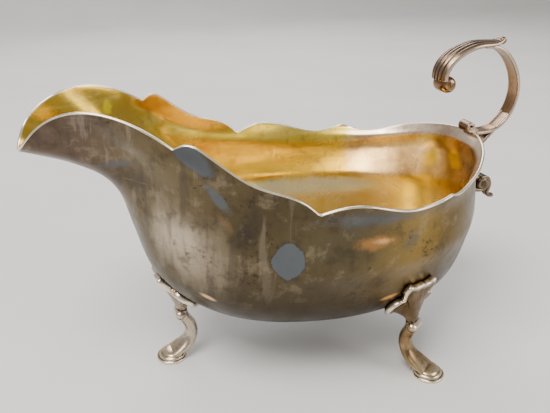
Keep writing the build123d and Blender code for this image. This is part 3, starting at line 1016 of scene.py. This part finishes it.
def build_strut():
    obj = strip("handle_strut_bar", STRUT_LINE, 2.7, 0.75, 40, 0.25)
    declare(obj, "handle_silver", "handle_strut")


def build_scroll():
    points = SCROLL_ARM + spiral(EYE_AT, 2.55, 0.6, -1.0, 1.3, 24)[1:]
    obj = strip("lower_scroll_strip", points, 2.8, 0.72, 110, 0.10)
    declare(obj, "handle_silver", "lower_scroll")
    eye = roll("lower_scroll_eye", EYE_AT, 3.0, 2.9)
    declare(eye, "handle_silver")
    narrowing = [(0, 1.0), (0.6, 0.85), (1, 0.45)]
    spur = strip("lower_scroll_spur", SCROLL_TAIL, 2.5, 0.75, 50, 0.05, taper=narrowing)
    declare(spur, "handle_silver")


build_band()
build_leaf()
build_terminal()
build_volute()
build_strut()
build_scroll()

# ---------------------------------------------------------------- feet
FRONT_SOLE = (-52.1, 0.0)
REAR_SOLE = (37.4, 43.0)
REAR_ANGLE = 52.5       # outward heading of the rear feet, in degrees
REAR_SPLAY = 0.16       # rear legs come inward by this much for each unit of height
# centre along the outward direction, height, half depth, half width
LEG = [
    (-5.4, 21.6, 2.0, 2.9), (-5.9, 18.2, 2.1, 2.8), (-7.8, 14.6, 2.3, 2.6),
    (-8.7, 11.2, 2.4, 2.7), (-8.2, 8.2, 2.4, 3.2), (-6.6, 5.8, 2.3, 4.0),
    (-4.2, 4.2, 1.9, 4.6), (-1.8, 3.2, 1.3, 4.6), (0.6, 2.3, 0.7, 4.0), (1.8, 1.9, 0.3, 3.2),
]
# knee plate seen along the outward direction, right half: across, height
SHIELD_UPPER = [(0.0, 38.4), (3.0, 38.1), (5.8, 38.8), (6.6, 36.4), (6.0, 34.2), (5.2, 32.8)]
SHIELD_LOWER = [(5.2, 32.8), (7.6, 32.4), (9.0, 30.4), (8.3, 27.8), (5.2, 25.6), (0.0, 23.2)]
SHIELD_MIDDLE = 31.0
# scale of the outline, height above the bowl, brightness
PLATE_PROFILE = [
    (0.06, 0.05, 0), (0.3, 0.05, 0), (0.6, 0.05, 0), (0.8, 0.05, 0), (0.95, 0.05, 0), (0.975, 0.5, 0.2),
    (0.995, 1.1, 0.7), (1.0, 1.7, 1), (0.99, 2.2, 1), (0.96, 2.5, 1), (0.915, 2.62, 0.6),
    (0.86, 2.6, 0.1), (0.8, 2.5, 0), (0.6, 2.4, 0), (0.3, 2.4, 0), (0.06, 2.4, 0),
]
PLATE_FOOT = 0.3        # the plate is dark below this height above the bowl
BRACKET_SCALE = 0.78    # the bracket's top against the plate's outline
BRACKET_LIFT = 2.3
BRACKET_STEPS = 18
ANKLE_U, ANKLE_Z, ANKLE_DEPTH, ANKLE_HALF = LEG[0]
FLARE_AT = (-5.0, 25.6)     # middle section of the bracket: outward, height
FLARE_DEPTH = 3.3
FLARE_HALF = 4.3
FLARE_TILT = 1.6        # its outward side stands this much higher than its middle
# painted shade: how dark the knee bracket trumpets are painted, as if in shadow, on the front and the rear
# feet
FRONT_TRUMPET_SHADE = 0.40
REAR_TRUMPET_SHADE = 0.75
COLLAR_AT = (-4.5, 19.4)
COLLAR_RADIUS = 2.05
COLLAR_HALF = 4.2
COLLAR_STEPS = 14
OVAL_POINTS = 40
# centre, height, half length, half width, edge shine, groove
HOOF_ROWS = [
    (-0.4, 0.0, 5.2, 5.3, 0.6, 0), (-0.4, 0.12, 5.5, 5.6, 1.0, 0), (-0.4, 0.5, 5.7, 5.8, 1.0, 0),
    (-0.4, 0.9, 5.65, 5.75, 0.9, 0), (-0.4, 1.1, 5.45, 5.55, 0.4, 0.3), (-0.6, 1.18, 5.1, 5.25, 0, 1.0),
    (-0.7, 1.35, 5.05, 5.2, 0, 0.5), (-0.75, 1.7, 5.0, 5.2, 0.4, 0), (-0.8, 2.0, 4.85, 5.05, 0.5, 0),
    (-0.9, 2.2, 4.6, 4.85, 0.2, 0.2), (-1.0, 2.28, 4.3, 4.6, 0, 0.5), (-1.1, 2.45, 4.25, 4.55, 0, 0.1),
    (-1.2, 2.8, 4.1, 4.45, 0.3, 0), (-1.5, 3.15, 3.7, 4.1, 0.1, 0), (-1.9, 3.5, 3.0, 3.4, 0, 0),
    (-2.3, 3.75, 2.0, 2.3, 0, 0), (-2.6, 3.85, 0.9, 1.0, 0, 0),
]


class Foot:
    """Places foot drawings: u outward, y across, z up."""

    def __init__(self, sole, heading, lean):
        a = math.radians(heading)
        self.sole = sole
        self.out = np.array([math.cos(a), math.sin(a)])
        self.side = np.array([-math.sin(a), math.cos(a)])
        self.lean = lean

    def place(self, u, y, z, leaning=True):
        """Drawing point; a leaning leg moves inward as it rises."""
        shift = -self.lean * z if leaning else 0.0
        xy = np.array(self.sole) + self.out * (u + shift) + self.side * y
        return (xy[0], xy[1], z)

    def on_bowl(self, y, z):
        """Point and normal where the outward line at (y, z) leaves the bowl."""
        start = self.place(40.0, y, z)
        direction = Vector((-self.out[0], -self.out[1], 0))
        hit, normal, _, _ = OUTER_TREE.ray_cast(Vector(start), direction)
        if hit is None:
            hit = Vector(self.place(-20.0, y, z))
            normal = -direction
        if normal.dot(direction) > 0:
            normal = -normal
        return np.array(hit), np.array(normal)


def shield_outline(scale=1.0):
    """Whole outline of the knee plate: across, height."""
    upper = spline_through(SHIELD_UPPER, 40)
    lower = spline_through(SHIELD_LOWER, 46)
    half = np.vstack([upper, lower[1:]])
    other = half[::-1][1:-1] * np.array([-1, 1])
    middle = np.array([0.0, SHIELD_MIDDLE])
    return middle + (np.vstack([half, other]) - middle) * scale


def foot_mesh(name, loops, nodes, edge, groove):
    obj = loft(name, loops, FOOT)
    paint(obj, edge=edge, groove=groove)
    declare(obj, "foot_silver", *nodes)


def build_plate(name, foot):
    """Shield that follows the bowl, with a raised rolled edge."""
    loops = []
    edge = []
    groove = []
    for scale, lift, bright in PLATE_PROFILE:
        loop = []
        for y, z in shield_outline(scale):
            hit, normal = foot.on_bowl(y, z)
            loop.append(tuple(hit + normal * lift))
            edge.append(float(bright))
            groove.append(1.0 if lift < PLATE_FOOT else 0.0)
        loops.append(loop)
    foot_mesh(name + "_knee_plate_shield", loops, [name + "_knee_plate"], edge, groove)


def build_bracket(name, foot):
    """Trumpet: plate outline flowing down to an oval neck."""
    # painted shade over the middle of the trumpet; its two ends are dark joints
    trumpet_shade = FRONT_TRUMPET_SHADE if name == "front" else REAR_TRUMPET_SHADE
    top = []
    for y, z in shield_outline(BRACKET_SCALE):
        hit, normal = foot.on_bowl(y, z)
        top.append(hit + normal * BRACKET_LIFT)
    neck = []
    flare = []
    for y, z in shield_outline():
        a = math.atan2(y, z - SHIELD_MIDDLE)
        ca, sa = math.cos(a), math.sin(a)
        neck.append(np.array(foot.place(ANKLE_U + ANKLE_DEPTH * ca, ANKLE_HALF * sa, ANKLE_Z)))
        flare_z = FLARE_AT[1] + FLARE_TILT * ca
        flare.append(np.array(foot.place(FLARE_AT[0] + FLARE_DEPTH * ca, FLARE_HALF * sa, flare_z)))
    loops = []
    groove = []
    for i in range(BRACKET_STEPS + 1):
        s = i / BRACKET_STEPS
        from_top = (1 - s) ** 2.2
        to_neck = s ** 1.6
        loop = []
        for a, b, c in zip(top, flare, neck):
            loop.append(tuple(from_top * a + (1 - from_top - to_neck) * b + to_neck * c))
            groove.append(1.0 if s > 0.97 or s < 0.04 else trumpet_shade)
        loops.append(loop)
    foot_mesh(name + "_knee_bracket_trumpet", loops, [name + "_knee_bracket"], [], groove)


def oval_loop(foot, u, z, tilt, depth, half, square=2.3, leaning=True):
    """Squarish oval across the leg. square 2 is a true oval."""
    loop = []
    for i in range(OVAL_POINTS):
        a = 2 * math.pi * i / OVAL_POINTS
        ca, sa = math.cos(a), math.sin(a)
        du = math.copysign(abs(ca) ** (2 / square), ca) * depth
        dy = math.copysign(abs(sa) ** (2 / square), sa) * half
        loop.append(foot.place(u + du * math.cos(tilt), dy, z - du * math.sin(tilt), leaning))
    return loop


def build_leg(name, foot):
    """Curved leg, its tongue over the hoof, and the ring round the ankle."""
    dense = spline_through(LEG, 60)
    tangent = np.gradient(dense[:, :2], axis=0)
    loops = []
    groove = []
    for i, (u, z, depth, half) in enumerate(dense):
        tilt = math.atan2(-tangent[i][0], -tangent[i][1])
        loops.append(oval_loop(foot, u, z, tilt, depth, half))
        groove += [1.0 if z > 21.0 else 0.0] * OVAL_POINTS
    foot_mesh(name + "_leg_curve", loops, [name + "_leg"], [], groove)
    collar = []
    painted_sheen = []
    turn = np.linspace(0, 2 * math.pi, 28, endpoint=False)
    for k in range(COLLAR_STEPS + 1):
        y = COLLAR_HALF * (2 * k / COLLAR_STEPS - 1)
        r = COLLAR_RADIUS * (1 - abs(y / COLLAR_HALF) ** 5) ** 0.5 + 0.05
        collar.append([foot.place(COLLAR_AT[0] + r * math.cos(a), y, COLLAR_AT[1] + r * math.sin(a) * 0.92)
                       for a in turn])
        # painted highlight: one side of the collar painted bright, as if lit
        painted_sheen += [max(0.0, math.cos(a - 0.7)) ** 3 * 0.8 for a in turn]
    foot_mesh(name + "_leg_collar", collar, [], painted_sheen, [])


def build_hoof(name, foot):
    """Three rounded steps from a flat oval sole up to the toe."""
    loops = []
    edge = []
    groove = []
    for u, z, depth, half, bright, dark in HOOF_ROWS:
        loops.append(oval_loop(foot, u, z, 0.0, depth, half, square=2.15, leaning=False))
        edge += [bright] * OVAL_POINTS
        groove += [dark] * OVAL_POINTS
    foot_mesh(name + "_hoof_stepped", loops, [name + "_hoof"], edge, groove)


FEET = {
    "front": Foot(FRONT_SOLE, 180.0, 0.0),
    "rear_left": Foot(REAR_SOLE, REAR_ANGLE, REAR_SPLAY),
    "rear_right": Foot((REAR_SOLE[0], -REAR_SOLE[1]), -REAR_ANGLE, REAR_SPLAY),
}
for name, foot in FEET.items():
    build_plate(name, foot)
    build_bracket(name, foot)
    build_leg(name, foot)
    build_hoof(name, foot)

# ---------------------------------------------------------------- stage
# metres
FLOOR_HALF_WIDTH = 1.8
FLOOR_FRONT = -1.2
FLOOR_BACK = 0.9
FLOOR_CURVE = 0.35
WALL_TOP = 1.4
LAMPS = {
    # place, aim, size, power, colour
    "key": ((-0.35, -0.25, 0.75), (0, 0, 0.05), (0.5, 0.4), 9.0, (1.0, 0.97, 0.93)),
    "fill": ((0.7, -0.5, 0.45), (0, 0, 0.05), (0.5, 0.5), 4.0, (1.0, 0.98, 0.95)),
    "back": ((0.15, 0.75, 0.6), (0, 0, 0.08), (0.7, 0.4), 5.0, (0.97, 0.98, 1.0)),
}
WORLD_COLOR = (0.80, 0.79, 0.77, 1)
WORLD_STRENGTH = 0.62


def build_floor():
    """Plain floor that curves up into a wall behind."""
    side = [(FLOOR_FRONT, 0.0), (FLOOR_BACK, 0.0)]
    for a in np.linspace(0, math.pi / 2, 16)[1:]:
        side.append((FLOOR_BACK + FLOOR_CURVE * math.sin(a), FLOOR_CURVE * (1 - math.cos(a))))
    side.append((FLOOR_BACK + FLOOR_CURVE, WALL_TOP))
    verts = [(x, y, z) for y, z in side for x in (-FLOOR_HALF_WIDTH, FLOOR_HALF_WIDTH)]
    faces = [(2 * i, 2 * i + 1, 2 * i + 3, 2 * i + 2) for i in range(len(side) - 1)]
    mesh = bpy.data.meshes.new("floor")
    mesh.from_pydata(verts, [], faces)
    mesh.polygons.foreach_set("use_smooth", [True] * len(faces))
    mesh.materials.append(pale_floor())
    floor = bpy.data.objects.new("floor", mesh)
    bpy.context.scene.collection.objects.link(floor)


def area_light(name, place, aim, size, power, color):
    data = bpy.data.lights.new(name, "AREA")
    data.shape = "RECTANGLE"
    data.size = size[0]
    data.size_y = size[1]
    data.energy = power
    data.color = color
    lamp = bpy.data.objects.new(name, data)
    bpy.context.scene.collection.objects.link(lamp)
    lamp.location = place
    lamp.rotation_euler = (Vector(aim) - Vector(place)).to_track_quat("-Z", "Y").to_euler()


build_floor()
for name, lamp in LAMPS.items():
    area_light(name, *lamp)

world = bpy.data.worlds.new("studio")
bpy.context.scene.world = world
world.use_nodes = True
world.node_tree.nodes["Background"].inputs["Color"].default_value = WORLD_COLOR
world.node_tree.nodes["Background"].inputs["Strength"].default_value = WORLD_STRENGTH
